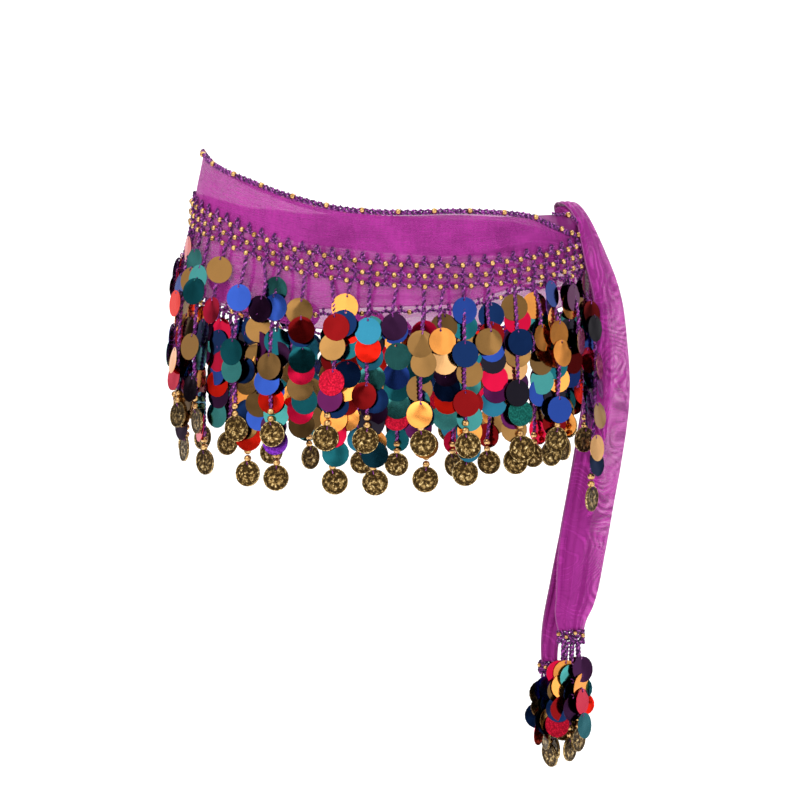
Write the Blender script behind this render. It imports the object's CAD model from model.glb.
"""A belly dance hip scarf of sheer cloth, worn and tied at one side, with its beaded net, its
fringe of round spangles and coins, and its two tasselled tails.

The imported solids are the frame. Each piece made here stands on the form of its solid, in metres,
with +X at the wearer's left, the front towards -Y and +Z up. A place on the hips is given by its
share of the way round: 0 at the knot, 0.25 at the middle of the front, 0.5 at the right hip.
"""

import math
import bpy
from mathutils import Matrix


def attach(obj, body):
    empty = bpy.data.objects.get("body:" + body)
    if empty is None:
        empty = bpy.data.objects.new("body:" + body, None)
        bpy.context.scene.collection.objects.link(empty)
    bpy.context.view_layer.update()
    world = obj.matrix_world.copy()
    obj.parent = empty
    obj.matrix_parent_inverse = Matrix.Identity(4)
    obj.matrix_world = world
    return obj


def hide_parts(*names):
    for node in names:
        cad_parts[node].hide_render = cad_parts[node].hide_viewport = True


bl_info = {
    "name": "Belly dance hip scarf",
    "version": (1, 0, 0),
    "blender": (4, 5, 0),
    "location": "3D View > Sidebar > Hip scarf",
    "description": "Makes a worn hip scarf of sheer cloth with a beaded net, spangles and coins",
    "category": "Add Mesh",
}

import bpy
import numpy as np
from mathutils import Vector

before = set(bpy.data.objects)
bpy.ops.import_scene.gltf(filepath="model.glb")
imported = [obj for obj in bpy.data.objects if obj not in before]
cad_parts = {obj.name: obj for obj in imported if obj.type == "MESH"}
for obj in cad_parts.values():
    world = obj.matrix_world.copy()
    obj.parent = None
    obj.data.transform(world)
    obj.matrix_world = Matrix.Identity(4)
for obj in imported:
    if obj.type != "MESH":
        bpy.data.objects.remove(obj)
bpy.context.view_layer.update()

SEAM_GAP = 0.0003
HIP_ROUNDNESS = 2.25
WIDEST_HEIGHT = -0.150
WRAP_START, WRAP_END, RIGHT_HIP = 0.0290, 0.9958, 0.5
PLEAT_REACH, PLEAT_RISE, PLEATS = 0.055, 0.0016, 2.0

# How far outside the hips each layer lies.
TURN_IN_OUT = 0.0008
CLOTH_OUT = 0.0021
HEM_OUT = 0.0028
NET_OUT = 0.0044
NET_EVEN_OUT = 0.0036   # where the net's cells are spaced evenly

NET_COLUMNS = 33
NET_ROWS = (0.0, 0.0088, 0.0175)
NET_LOOP = 0.0066
PARTING = 0.0004        # between the front's and the back's net, as a share of the way round
NET_HALVES = (("front", 0.050, RIGHT_HIP - PARTING), ("back", RIGHT_HIP + PARTING, 0.955))
HEM_DROP = 0.0048       # how far below the hem its crocheted cord lies
EDGING = 0.052, 0.967
TIED_EDGING = 0.050, 0.100     # where the tied end's own edging shows above the cloth
# The length in which the plies of each kind of cord make one turn.
ROW_LAY, POST_LAY, LOOP_LAY, EDGE_LAY, WAVY_LAY, CHAIN_LAY = 0.0062, 0.0050, 0.0040, 0.0052, 0.0046, 0.0068

STRANDS = 22
FRINGE_FROM = {"net": 0.0045, "hem": 0.0022}
FRINGE_REACH = {"net": 0.0105, "hem": 0.0034}
SHORT_FALL = {"net": 0.42, "hem": 0.70}
SWING = 0.30
PAIRING = 0.0030        # how far each long strand stands towards its neighbour, in pairs
BACK_BARE = (0.030, 0.046)   # the bare chain above the first spangle of the back's upper tier
COIN_THICK, COIN_RELIEF = 0.0008, 0.00055

KNOT_CENTRE = (0.1640, -0.0100, -0.0300)
KNOT_RADII = (0.0095, 0.0130, 0.0140)


class Table:
    """A short table whose first column places its rows, read between them by a smooth curve:
    a cubic through the rows whose slope at each row is that of its neighbours."""

    def __init__(self, names, rows):
        columns = np.array(rows, float).T
        self.places, self.columns = columns[0], dict(zip(names, columns))
        self.slopes = {name: np.gradient(v, self.places) for name, v in self.columns.items()}

    def __call__(self, name, place):
        places, values, slopes = self.places, self.columns[name], self.slopes[name]
        place = np.clip(np.asarray(place, float), places[0], places[-1])
        k = np.clip(np.searchsorted(places, place, side="right"), 1, len(places) - 1) - 1
        span = places[k + 1] - places[k]
        t = (place - places[k]) / span
        return (
            (2 * t**3 - 3 * t**2 + 1) * values[k]
            + (t**3 - 2 * t**2 + t) * span * slopes[k]
            + (3 * t**2 - 2 * t**3) * values[k + 1]
            + (t**3 - t**2) * span * slopes[k + 1]
        )


HIPS = Table(("height", "half_width", "front", "back"), (
    (-.2, .168, .104, .126), (-.15, .1755, .108, .13), (-.1, .1735, .109, .127),
    (-.05, .1685, .108, .118), (0., .1635, .104, .106), (.06, .154, .096, .094),
))
WRAP = Table(("around", "edge", "net", "hem", "net_coin", "hem_coin"), (
    (0., -.026, -.034, -.037, -.196, -.202), (.03, -.0325, -.037, -.042, -.197, -.203),
    (.05, -.0325, -.0385, -.053, -.25, -.204), (.07, -.0305, -.0395, -.0585, -.25, -.206),
    (.1, -.024, -.044, -.062, -.203, -.211), (.13, -.0155, -.0475, -.067, -.206, -.216),
    (.16, -.0126, -.0508, -.0745, -.208, -.22), (.2, -.011, -.0538, -.085, -.204, -.228),
    (.25, -.0118, -.0525, -.0882, -.2, -.235), (.28, -.009, -.0478, -.0895, -.198, -.235),
    (.32, .0003, -.0398, -.091, -.196, -.233), (.37, .0145, -.0245, -.089, -.191, -.229),
    (.42, .026, -.012, -.083, -.187, -.222), (.46, .0345, -.0045, -.077, -.184, -.214),
    (.5, .0395, 0., -.0735, -.182, -.208), (.56, .028, -.011, -.0865, -.184, -.211),
    (.62, .0115, -.027, -.101, -.192, -.222), (.7, -.0115, -.05, -.1175, -.205, -.237),
    (.78, -.021, -.0585, -.1175, -.211, -.243), (.86, -.0245, -.06, -.1075, -.208, -.234),
    (.92, -.0335, -.061, -.094, -.202, -.221), (.965, -.03, -.0535, -.076, -.197, -.208),
    (.98, -.028, -.0485, -.063, -.195, -.205), (1., -.0255, -.0355, -.0385, -.194, -.202),
))
TURN_IN = {
    "front": Table(("around", "upper", "lower"), (
        (.029, -.0262, -.033), (.047, -.022, -.034), (.06, -.0158, -.0345), (.087, -.013, -.0355),
        (.12, -.013, -.0395), (.16, -.0142, -.0445), (.2, -.0125, -.0465), (.25, -.0133, -.044),
        (.276, -.012, -.0405), (.316, -.011, -.035), (.34, -.0082, -.028), (.37, -.0065, -.0225),
        (.39, -.0031, -.0188), (.412, 0., -.0138), (.44, .0035, -.0088), (.47, .005, -.003),
    )),
    "back": Table(("around", "upper", "lower"), (
        (.53, .0038, -.007), (.56, .0012, -.013), (.59, -.0028, -.02), (.62, -.008, -.0265),
        (.66, -.0115, -.035), (.7, -.0155, -.042), (.78, -.0225, -.049), (.86, -.026, -.052),
        (.92, -.0357, -.058), (.965, -.0318, -.048), (.98, -.0295, -.041), (.9958, -.0265, -.0325),
    )),
}

# Soft creases of the worn cloth: where each lies, its share of the cloth's height, its reach round
# the hips, its spread as a share of the height, its rise, and how far it slants up over its reach.
CREASES = (
    (.145, .62, .06, .16, .0022, 0.), (.25, .3, .045, .14, .0014, 0.),
    (.3, .66, .07, .13, .0018, 0.), (.39, .42, .05, .15, .002, 0.),
    (.47, .72, .045, .14, .0014, 0.), (.58, .35, .055, .16, .002, 0.),
    (.69, .68, .065, .14, .0016, 0.), (.8, .4, .06, .15, .0022, 0.),
    (.88, .66, .05, .15, .0018, 0.),
)
FINE_CREASES = (
    (.09, .7, .06, .035, .0008, -.1), (.125, .38, .05, .03, .0007, .06),
    (.18, .2, .04, .028, .0007, .05), (.205, .52, .055, .03, .0008, -.06),
    (.235, .12, .05, .025, .0006, .02), (.27, .42, .06, .03, .0009, .07),
    (.33, .24, .045, .028, .0007, .05), (.345, .54, .05, .03, .0009, -.09),
    (.405, .66, .045, .032, .0008, .1), (.43, .22, .045, .028, .0008, -.04),
    (.52, .58, .05, .032, .0009, .08), (.56, .18, .045, .028, .0007, -.05),
    (.62, .52, .055, .03, .0009, .06), (.66, .28, .05, .028, .0007, -.06),
    (.74, .6, .055, .03, .0009, .08), (.765, .16, .045, .026, .0007, .03),
    (.84, .48, .05, .03, .0008, -.08), (.91, .36, .045, .03, .0008, .07),
)

TAIL_COLUMNS = ("share", "x", "y", "z", "half_width", "half_depth", "turn")
TAILS = {
    "over": Table(TAIL_COLUMNS, (
        (0., .153, .015, -.019, .0065, .003, 5), (.03, .1505, .005, -.012, .007, .0034, 10),
        (.06, .1525, -.007, -.0056, .008, .0036, 20), (.09, .158, -.019, -.0075, .0085, .0036, 36),
        (.12, .1645, -.027, -.0165, .0098, .0036, 46), (.16, .1705, -.03, -.033, .0145, .0036, 50),
        (.21, .1768, -.03, -.053, .0165, .0042, 46), (.27, .185, -.0265, -.08, .016, .0064, 36),
        (.39, .1888, -.017, -.1305, .0185, .01, 18), (.51, .1892, -.009, -.174, .0195, .0115, 6),
        (.63, .1822, -.005, -.224, .0205, .0105, -4), (.74, .1752, -.004, -.261, .021, .0088, -2),
        (.84, .168, -.003, -.3045, .0208, .0075, 2), (.94, .1625, -.003, -.348, .0172, .0062, 2),
        (.98, .1592, -.003, -.364, .014, .005, 0), (1., .1592, -.003, -.375, .0112, .0044, 0),
    )),
    "under": Table(TAIL_COLUMNS, (
        (0., .1655, -.0095, -.0464, .0062, .0026, 70), (.06, .174, -.0035, -.064, .008, .0034, 60),
        (.16, .18, .009, -.095, .01, .004, 35), (.32, .183, .0185, -.155, .012, .0045, 0),
        (.5, .1762, .018, -.215, .013, .0045, -8), (.66, .166, .0175, -.275, .013, .0043, -8),
        (.82, .153, .017, -.335, .011, .004, 0), (.93, .143, .017, -.38, .0085, .0038, 0),
        (.97, .1415, .017, -.395, .0075, .0036, 0), (1., .1415, .017, -.406, .007, .0036, 0),
    )),
}
# The path of each tail's folded cloth: across the section, and in its depth.
TAIL_FOLDS = {
    "over": Table(("way", "w", "d"), (
        (0., -.96, .8), (.14, -.35, .98), (.28, .35, .95), (.38, .86, .7), (.43, 1., .26),
        (.48, .86, -.2), (.6, .1, -.26), (.72, -.7, -.2), (.78, -.98, -.42), (.84, -.76, -.88),
        (.92, -.4, -1.02), (1., .02, -.96),
    )),
    "under": Table(("way", "w", "d"), (
        (0., -.9, 1.), (.22, .1, .9), (.42, .88, .74), (.5, 1., .05), (.58, .84, -.66),
        (.78, 0., -.9), (1., -.92, -.8),
    )),
}
# Where the cloth's inner edge lies across the over tail, behind its two main layers.
INNER_EDGE = Table(("share", "w"), (
    (0., .3), (.12, .1), (.2, -.25), (.3, -.52), (.45, -.62), (.57, -.8), (.66, -.65), (.74, -.3),
    (.85, 0.), (1., .35),
))
# Where the over tail's cloth lies double: to the left of a line down it.
DOUBLE_TO = Table(("share", "w"), (
    (0., -.6), (.21, -.59), (.27, -.5), (.39, -.43), (.51, -.45), (.615, -.29), (.74, -.08),
    (.84, .06), (.94, 0.), (1., 0.),
))
PLEAT_WAVES, PLEAT_SHARE = 3.0, 0.10
# The tails' main folds: place across the width, drift down the length, width, depth as a share of
# the section's half depth, and the shares of the length that they begin and end at.
TAIL_CREASES = {
    "over": (
        (-.78, .1, .1, -.34, .04, .98), (-.4, .05, .09, -.22, .1, .85),
        (.05, -.15, .11, .18, .15, .72), (.2, .05, .08, -.32, .78, 1.3),
        (-.3, 0., .07, .28, .8, 1.3), (.55, 0., .07, -.28, .82, 1.3),
    ),
    "under": (
        (-.6, .1, .1, -.45, .1, .95), (-.2, .1, .09, .35, .15, .9), (.25, -.1, .09, -.35, .2, .95),
        (.6, 0., .08, .25, .3, 1.1),
    ),
}
TAIL_GRIDS = {"over": (170, 130), "under": (120, 80)}
TWO_LAYERS = 0.42       # the share of a tail's path that is its front layer

TASSEL_SCALE = {"over": 1.0, "under": 0.80}
TASSEL_NET = 0.0100     # how far down the small net at a tail's end reaches
TASSEL_STRANDS = (      # (across, splay, swing, fall)
    (-.0096, 1.7, .003, .088), (-.0064, 1.55, -.004, .106), (-.0032, 1.6, .007, .098),
    (0., 1., -.002, .11), (.0032, 1.6, .005, .082), (.0064, 1.55, -.005, .1),
    (.0096, 1.7, .001, .092),
)

# How the spangles are bowed: the turn of the line and the depth, per metre.
BOWS = ((0.2, 2.5), (1.3, 3.5), (-0.7, 1.2), (2.1, -1.8), (0.0, 0.6), (-1.2, 4.5))

# The spangles' colours, each with how often it comes and how much glitter it has.
DYES = (
    ((.86, .33, .07), 15, 0.), ((.8, .43, .17), 4, 0.), ((.28, .145, .045), 17, 0.),
    ((.13, .07, .024), 6, 0.), ((.7, .014, .006), 8, 0.), ((.55, .006, .042), 6, 0.),
    ((.17, .005, .006), 9, 0.), ((.022, .06, .3), 8, 0.), ((.006, .02, .075), 11, 0.),
    ((.01, .11, .135), 9, 0.), ((.055, .27, .26), 6, 0.), ((.02, .14, .22), 5, 0.),
    ((.04, .011, .042), 9, 0.), ((.085, .01, .065), 6, 0.), ((.014, .012, .018), 6, 0.),
    ((.17, .028, .38), 2, 1.), ((.44, .008, .028), 2, .8), ((.01, .11, .09), 1, .9),
)
# How the spangles hang: how far down the first lies, the steps between close ones and between
# clusters, the most in a cluster, how far they turn and lean, how far they stand out, and how far
# the coins turn.
PLANS = {
    "hem": dict(
        first=(0.003, 0.014), close=(0.0090, 0.0125), apart=(0.0125, 0.0170), cluster=5,
        spread=0.42, tilts=(0.02, 0.14), lifts=(0.0002, 0.0028), coin_turns=(0.20, 0.40, 1.2),
    ),
    "net": dict(
        first=(0.007, 0.044), close=(0.0120, 0.0165), apart=(0.0260, 0.0500), cluster=2,
        spread=0.52, tilts=(0.02, 0.18), lifts=(0.0002, 0.0034), coin_turns=(0.20, 0.35, 1.1),
    ),
    "tassel": dict(
        first=(0.006, 0.024), close=(0.0120, 0.0160), apart=(0.0160, 0.0220), cluster=3,
        spread=1.15, tilts=(-0.10, 0.22), lifts=(0.0002, 0.0030), coin_turns=(3.2, 2.4, 2.8),
    ),
}
COIN_ODDS = (0.45, 0.30, 0.25)
LOOSE_SHARE, LOOSE_SPREAD = 0.14, 1.5    # of the spangles, so many hang turned any way


def signed_power(value, exponent):
    return np.sign(value) * np.abs(value) ** exponent


def unit(vectors):
    return vectors / np.maximum(np.linalg.norm(vectors, axis=-1, keepdims=True), 1e-12)


def hip_point(around, height, out):
    """Points that far outside the hips. At each height the hips are a rounded ellipse: x is half
    the width times cos to the power 2/n, y is the depth times sin to the power 2/n, and the point
    then moves out along the ellipse's normal."""
    around, height, out = np.broadcast_arrays(
        np.asarray(around, float), np.asarray(height, float), np.asarray(out, float)
    )
    angle = -2 * np.pi * around
    cosine, sine = np.cos(angle), np.sin(angle)
    half_width = HIPS("half_width", height)
    depth = np.where(sine < 0, HIPS("front", height), HIPS("back", height))
    normal = unit(
        np.stack(
            [
                signed_power(cosine, 2 - 2 / HIP_ROUNDNESS) / half_width,
                signed_power(sine, 2 - 2 / HIP_ROUNDNESS) / depth,
            ],
            -1,
        )
    )
    x = half_width * signed_power(cosine, 2 / HIP_ROUNDNESS) + normal[..., 0] * out
    y = depth * signed_power(sine, 2 / HIP_ROUNDNESS) + normal[..., 1] * out
    return np.stack([x, y, height], -1)


def crease(around, height, table=CREASES):
    """How far the creases lift the cloth: each is a bell in both directions, and its ridge line
    slants with the way round. Beside the knot, pleats rise as a cosine of the height."""
    hem = WRAP("hem", around)
    share = (height - hem) / (WRAP("edge", around) - hem)
    lift = 0.0
    for place, level, reach, spread, rise, slant in table:
        off = (around - place) / reach
        up = (share - level - slant * off) / spread
        lift = lift + rise * np.exp(-(off**2)) * np.exp(-(up**2))
    if table is CREASES:
        from_knot = np.minimum(around - WRAP_START, WRAP_END - around)
        fade = np.maximum(0.0, 1 - from_knot / PLEAT_REACH) ** 2
        lift = lift + PLEAT_RISE * fade * (1 + np.cos(2 * np.pi * PLEATS * share)) / 2
    return lift


def cloth_point(around, height, out):
    return hip_point(around, height, out + crease(around, height))


def hanging_point(around, height, out):
    """As hip_point, but falling straight below the widest part of the hips."""
    around, height, out = np.broadcast_arrays(around, height, out)
    point = hip_point(around, np.maximum(height, WIDEST_HEIGHT), out)
    point[..., 2] = height
    return point


def outward(around, height):
    """The level direction away from the hips there."""
    return unit(hip_point(around, height, 0.01) - hip_point(around, height, 0.0))


def walked_along(points):
    """The length walked along a line of points, at each of them."""
    return np.concatenate([[0], np.cumsum(np.linalg.norm(np.diff(points, axis=0), axis=1))])


def evenly(start, end, count):
    """The shares of the way round that part the stretch into equal lengths."""
    fine = np.linspace(start, end, 400)
    lengths = walked_along(hip_point(fine, WRAP("net", fine), NET_EVEN_OUT))
    return np.interp(np.linspace(0, lengths[-1], count + 1), lengths, fine)


def share_of(length, around):
    """The share of the way round that a length covers there."""
    step = hip_point(around + 0.001, 0.0, 0.0017) - hip_point(around - 0.001, 0.0, 0.0017)
    return length * 0.002 / np.linalg.norm(step, axis=-1)


def quads(rows, columns, closed=False, turned=False):
    """The four-sided faces between neighbours of a grid; closed joins its last column to its
    first, and turned makes them face the other way."""
    across = columns if closed else columns - 1
    r, c = np.meshgrid(np.arange(rows - 1), np.arange(across), indexing="ij")
    after = (c + 1) % columns
    faces = np.stack(
        [r * columns + c, r * columns + after, (r + 1) * columns + after, (r + 1) * columns + c], -1
    ).reshape(-1, 4)
    return faces[:, ::-1] if turned else faces


def repeated(faces, count, size):
    """The same faces for each of count copies of size points."""
    return (faces[None] + np.arange(count)[:, None, None] * size).reshape(-1, faces.shape[1])


class Parcel:
    """Points and faces gathered for one mesh."""

    def __init__(self):
        self.points, self.faces, self.marks, self.count = [], [], {}, 0

    def add(self, points, *faces, **marks):
        points = np.asarray(points, float).reshape(-1, 3)
        self.points.append(points)
        self.faces += [f + self.count for f in faces if len(f)]
        for name, values in marks.items():
            self.marks.setdefault(name, []).append(np.asarray(values, float))
        self.count += len(points)


def put_mesh(name, parcel, finish, sharp=None):
    """One mesh object at the origin from gathered points and faces."""
    points = np.concatenate(parcel.points)
    mesh = bpy.data.meshes.new(name)
    mesh.vertices.add(len(points))
    mesh.vertices.foreach_set("co", points.astype(np.float32).ravel())
    corners = np.concatenate([f.ravel() for f in parcel.faces]).astype(np.int32)
    sizes = np.concatenate([np.full(len(f), f.shape[1]) for f in parcel.faces])
    mesh.loops.add(len(corners))
    mesh.loops.foreach_set("vertex_index", corners)
    mesh.polygons.add(len(sizes))
    starts = np.concatenate([[0], np.cumsum(sizes)[:-1]]).astype(np.int32)
    mesh.polygons.foreach_set("loop_start", starts)
    mesh.update(calc_edges=True)
    for mark, values in parcel.marks.items():
        values = np.concatenate(values).astype(np.float32)
        if mark == "length":
            mesh.uv_layers.new(name=mark).data.foreach_set("uv", values[corners].ravel())
        else:
            kind, field = ("FLOAT_COLOR", "color") if values.ndim == 2 else ("FLOAT", "value")
            mesh.attributes.new(mark, kind, "POINT").data.foreach_set(field, values.ravel())
    mesh.shade_smooth()
    if sharp is not None:
        mesh.set_sharp_from_angle(angle=math.radians(sharp))
    mesh.materials.append(finish)
    piece = bpy.data.objects.new(name, mesh)
    bpy.context.scene.collection.objects.link(piece)
    return piece


def dress(piece, slot, *nodes):
    """Let a piece ride on the scarf, take its slot and stand for its solids."""
    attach(piece, "root")
    if nodes:
        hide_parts(*nodes)
    return piece


def put_cloth(name, node, grid, gather, finish, wall, turned=False):
    """A sheet on a grid of points, in place of its solid. It keeps its lengths along and across
    in metres, and how steeply its creases stand, and gets its wall with a closed rim."""
    rows, columns = grid.shape[:2]
    along = np.linalg.norm(np.diff(grid, axis=1), axis=2).mean(axis=0)
    across = np.linalg.norm(np.diff(grid, axis=0), axis=2).mean(axis=1)
    u = np.broadcast_to(np.concatenate([[0], np.cumsum(along)]), (rows, columns))
    v = np.broadcast_to(np.concatenate([[0], np.cumsum(across)])[:, None], (rows, columns))
    length = np.stack([u, v], -1).reshape(-1, 2)
    parcel = Parcel()
    parcel.add(grid, quads(rows, columns, turned=turned), length=length, gather=np.ravel(gather))
    piece = put_mesh(name, parcel, finish)
    shell = piece.modifiers.new("wall", "SOLIDIFY")
    shell.thickness, shell.offset, shell.use_even_offset = wall, 0.0, True
    return dress(piece, "sheer_cloth", node)


def put_roll(name, lines, aways, radius, finish):
    """The rolled hem along the edges of a sheet."""
    parcel = Parcel()
    add_cords(parcel, lines, aways, radius, plies=1, sides=6)
    return dress(put_mesh(name, parcel, finish), "sheer_cloth")


def add_cords(parcel, lines, aways, ply, spread=0.0, lay=0.01, plies=2, sides=5):
    """Twisted cords. lines and aways are (cord, step, 3): the middle line and a direction across
    it. A ply's middle is the line moved by spread in a direction that makes one turn in each lay
    of length, and a ring of the ply's radius goes round it at each step."""
    lines = np.asarray(lines, float)
    tangent = unit(np.gradient(lines, axis=1))
    away = np.broadcast_to(aways, lines.shape)
    away = unit(away - tangent * np.sum(away * tangent, -1, keepdims=True))
    across = np.cross(tangent, away)
    cords, steps = lines.shape[:2]
    walked = np.linalg.norm(np.diff(lines, axis=1), axis=2)
    walked = np.concatenate([np.zeros((cords, 1)), np.cumsum(walked, axis=1)], 1)
    turn = 2 * np.pi * (walked[..., None] / lay + np.arange(plies) / plies)[..., None]
    middle = lines[:, :, None] + spread * (
        np.cos(turn) * away[:, :, None] + np.sin(turn) * across[:, :, None]
    )
    ring = (2 * np.pi * np.arange(sides) / sides)[:, None]
    spoke = np.cos(ring) * away[:, :, None, None] + np.sin(ring) * across[:, :, None, None]
    points = (middle[:, :, :, None] + np.asarray(ply) * spoke).transpose(0, 2, 1, 3, 4)
    size = steps * sides
    ends = np.stack([np.arange(sides)[::-1], np.arange(sides) + size - sides])
    tubes = [repeated(faces, cords * plies, size) for faces in (quads(steps, sides, closed=True), ends)]
    parcel.add(points, *tubes, ply=np.tile(np.repeat(np.arange(plies) / max(plies - 1, 1), size), cords))


def bead_shape(radius, around=10):
    """A bead with its thread hole along z: a closed loop of points, round outside and straight
    along the hole, turned about z."""
    outer = np.radians([-66, -36, 0, 36, 66])
    profile = [(radius * math.cos(t), radius * 0.92 * math.sin(t)) for t in outer]
    profile += [(radius * 0.26, radius * 0.78), (radius * 0.26, -radius * 0.78)]
    reach, height = np.array(profile).T
    turn = 2 * np.pi * np.arange(around)[:, None] / around
    points = np.stack(np.broadcast_arrays(np.cos(turn) * reach, np.sin(turn) * reach, height), -1)
    return points.reshape(-1, 3), looped(around, len(profile))


def looped(rows, columns):
    """Faces of a grid whose last row joins its first and whose last column joins its first."""
    r, c = np.meshgrid(np.arange(rows), np.arange(columns), indexing="ij")
    below, after = (r + 1) % rows, (c + 1) % columns
    return np.stack(
        [r * columns + c, below * columns + c, below * columns + after, r * columns + after], -1
    ).reshape(-1, 4)


def add_copies(parcel, shape, faces, places, frames, **marks):
    """Copies of a shape: a point is its place plus its x, y and z along the frame's columns,
    which are right, out and up."""
    points = np.asarray(places)[:, None] + np.einsum("nij,pj->npi", np.asarray(frames), shape)
    for name, values in marks.items():
        if len(values) == len(places):
            marks[name] = np.repeat(values, len(shape), axis=0)
    parcel.add(points, repeated(faces, len(places), len(shape)), **marks)


def add_beads(parcel, places, axes, radius):
    axes = unit(np.broadcast_to(axes, places.shape))
    side = unit(np.cross(axes, np.where(np.abs(axes[:, :1]) < 0.8, (1.0, 0, 0), (0, 1.0, 0))))
    frames = np.stack([side, np.cross(axes, side), axes], -1)
    add_copies(parcel, *bead_shape(radius), places, frames)


def sum_node(operation, swapped=False):
    """A method that adds a Math node, with this socket first or, swapped, second."""

    def add_node(self, other=0.0):
        first, second = (other, self) if swapped else (self, other)
        return self.tree.node("ShaderNodeMath", {"operation": operation}, {0: first, 1: second})(0)

    return add_node


class Value:
    """A socket of a shader tree that does sums by adding Math nodes."""

    def __init__(self, tree, socket):
        self.tree, self.socket = tree, socket

    __add__ = __radd__ = sum_node("ADD")
    __sub__, __rsub__ = sum_node("SUBTRACT"), sum_node("SUBTRACT", swapped=True)
    __mul__, __pow__ = sum_node("MULTIPLY"), sum_node("POWER")
    sine, at_least, at_most = sum_node("SINE"), sum_node("MAXIMUM"), sum_node("MINIMUM")


class Tree:
    """The nodes of a shader."""

    def __init__(self, nodes):
        self.nodes = nodes

    def plug(self, socket, value):
        if isinstance(value, Value):
            self.nodes.links.new(value.socket, socket)
        else:
            socket.default_value = value

    def node(self, kind, settings={}, values={}):
        """Add a node: its settings first, then its sockets. Gives a reader of its outputs."""
        node = self.nodes.nodes.new(kind)
        for name, value in settings.items():
            if name == "stops":
                ramp = node.color_ramp.elements
                while len(ramp) < len(value):
                    ramp.new(0.5)
                for stop, (place, colour) in zip(ramp, value):
                    stop.position, stop.color = place, (*colour, 1.0)
            else:
                setattr(node, name, value)
        for name, value in values.items():
            self.plug(node.inputs[name], value)
        return lambda name: Value(self, node.outputs[name])

    def place(self):
        return self.node("ShaderNodeTexCoord")("Object")

    def mark(self, name):
        return self.node("ShaderNodeAttribute", {"attribute_name": name})

    def stretched(self, vector, scale):
        return self.node("ShaderNodeMapping", {}, {"Vector": vector, "Scale": scale})("Vector")

    def noise(self, vector, scale, detail=3.0, roughness=0.55, distortion=0.0):
        values = {"Vector": vector, "Scale": scale, "Detail": detail}
        values.update(Roughness=roughness, Distortion=distortion)
        return self.node("ShaderNodeTexNoise", {}, values)("Fac")

    def ramp(self, factor, *stops):
        return self.node("ShaderNodeValToRGB", {"stops": stops}, {"Fac": factor})("Color")

    def blend(self, factor, first, second):
        """From a first socket to a plain second colour."""
        settings = {"data_type": "RGBA", "blend_type": "MIX", "clamp_factor": True}
        return self.node("ShaderNodeMix", settings, {0: factor, 6: first, 7: (*second, 1.0)})(2)


class Finish(Tree):
    """A material whose constants sit on the shader's own sockets."""

    def __init__(self, name, **constants):
        self.material = bpy.data.materials.new(name)
        self.material.use_nodes = True
        super().__init__(self.material.node_tree)
        self.shader = self.nodes.nodes["Principled BSDF"]
        self.set(**constants)

    def set(self, **values):
        """Set or link the shader's sockets, an underscore standing for a space."""
        for name, value in values.items():
            if isinstance(value, tuple) and len(value) == 3:
                value = (*value, 1.0)
            self.plug(self.shader.inputs[name.replace("_", " ")], value)

    def bump(self, height, strength, distance):
        values = {"Height": height, "Strength": strength, "Distance": distance}
        self.set(Normal=self.node("ShaderNodeBump", {}, values)("Normal"))


def dyed(colour, depth):
    """A colour made deeper or paler."""
    return tuple(c * depth for c in colour)


def sheer_cloth(name, colour, cover, rings=0.0):
    """Fine plain-woven sheer: threads both ways, uneven slubs, a soft cloudiness, and where two
    layers lie close the faint rings that their weaves make together."""
    cloth = Finish(name, Roughness=0.55, Sheen_Weight=0.08, Sheen_Roughness=0.4)
    cloth.set(Sheen_Tint=(0.95, 0.45, 0.90), Specular_IOR_Level=0.14)
    length = cloth.node("ShaderNodeUVMap", {"uv_map": "length"})("UV")
    parts = cloth.node("ShaderNodeSeparateXYZ", {}, {"Vector": length})
    u, v = parts("X"), parts("Y")
    warp = (u * (2 * math.pi / 0.00062)).sine()
    weft = (v * (2 * math.pi / 0.00070)).sine()
    threads = (warp * weft) * 0.5 + 0.5
    slubs = cloth.noise(cloth.stretched(length, (60.0, 1500.0, 1.0)), 1.0, 4.0)
    cloud = cloth.noise(length, 28.0, 3.0, 0.5, 0.6)
    crinkle = cloth.noise(cloth.stretched(length, (420.0, 70.0, 1.0)), 1.0, 4.0, 0.6, 0.4)
    gather = cloth.mark("gather")("Fac").at_most(0.8)
    tone = cloud * 0.55 + slubs * 0.25 + crinkle * 0.30 - gather * 0.55
    alpha = cover + (threads - 0.5) * 0.10 + (slubs - 0.5) * 0.22
    alpha = alpha + (cloud - 0.5) * 0.16 + gather * 0.55
    if rings:
        middle = cloth.noise(length, 15.0, 2.0, 0.35)
        waves = (middle * 190.0 + (u * 0.4 + v) * 330.0).sine()
        patch = cloth.noise(length, 26.0, 2.0, 0.5)
        waves = waves * ((patch - 0.36) * 5.0).at_least(0.15).at_most(1.0)
        tone = tone + waves * rings
        alpha = alpha - waves * (rings * 0.40)
    pale = tuple(min(1.0, c * 1.28 + 0.015) for c in colour)
    cloth.set(Base_Color=cloth.ramp(tone, (0.30, dyed(colour, 0.60)), (0.75, pale)))
    cloth.set(Alpha=alpha.at_least(0.05).at_most(1.0))
    cloth.bump(threads * 0.25 + slubs * 0.4 + crinkle * 0.8, 0.35, 0.0006)
    return cloth.material


def rolled_hem(name, colour):
    """The same cloth rolled tight, so nearly closed and darker."""
    cloth = Finish(name, Roughness=0.55, Sheen_Weight=0.3)
    place = cloth.place()
    grain = cloth.noise(place, 1800.0, 3.0)
    tone = grain * 0.6 + cloth.noise(place, 160.0, 2.0) * 0.4
    cloth.set(Base_Color=cloth.ramp(tone, (0.3, dyed(colour, 0.50)), (0.7, dyed(colour, 0.95))))
    cloth.bump(grain, 0.4, 0.0004)
    return cloth.material


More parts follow.
